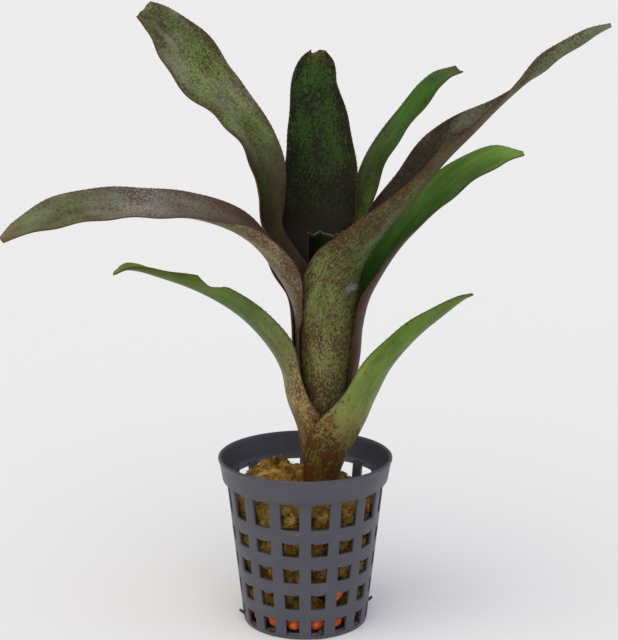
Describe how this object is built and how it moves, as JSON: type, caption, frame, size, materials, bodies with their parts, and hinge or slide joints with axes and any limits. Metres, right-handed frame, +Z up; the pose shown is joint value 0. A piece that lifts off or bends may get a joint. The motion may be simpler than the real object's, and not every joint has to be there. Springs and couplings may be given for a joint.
{
  "type": "potted neoregelia bromeliad",
  "caption": "Young neoregelia bromeliad with speckled strap leaves, rooted in mineral wool and clay pebbles in a small grey net pot.",
  "frame": {"origin": "centre of the net pot's underside, where it stands", "axes": "+Z up along the pot's axis; the viewer of the picture is at -Y, with +X to the right"},
  "size_m": [0.1835, 0.0756, 0.1971],
  "materials": {
    "pot_plastic": "satin moulded plastic, slate grey",
    "mineral_wool": "torn fibrous mineral wool, golden brown",
    "fired_clay": "rough fired expanded clay, orange",
    "stem_and_roots": "rough brown bark",
    "leaf_skin": "leathery green leaf with maroon speckles"
  },
  "bodies": {
    "root": {"net_pot": "pot_plastic", "mineral_wool": "mineral_wool", "clay_pebble_01": "fired_clay", "clay_pebble_02": "fired_clay", "clay_pebble_03": "fired_clay", "clay_pebble_04": "fired_clay", "clay_pebble_05": "fired_clay", "clay_pebble_06": "fired_clay", "clay_pebble_07": "fired_clay", "clay_pebble_08": "fired_clay", "clay_pebble_09": "fired_clay", "clay_pebble_10": "fired_clay", "clay_pebble_11": "fired_clay", "clay_pebble_12": "fired_clay", "clay_pebble_13": "fired_clay", "clay_pebble_14": "fired_clay", "clay_pebble_15": "fired_clay", "clay_pebble_16": "fired_clay", "clay_pebble_17": "fired_clay", "stem_with_roots": "stem_and_roots", "leaf_low_right": "leaf_skin", "leaf_low_left": "leaf_skin", "leaf_stub": "leaf_skin", "leaf_long_left": "leaf_skin", "leaf_green_right": "leaf_skin", "leaf_long_right": "leaf_skin", "leaf_back_right": "leaf_skin", "leaf_back_centre": "leaf_skin", "leaf_upper_left": "leaf_skin", "leaf_heart": "leaf_skin"}
  },
  "joints": []
}
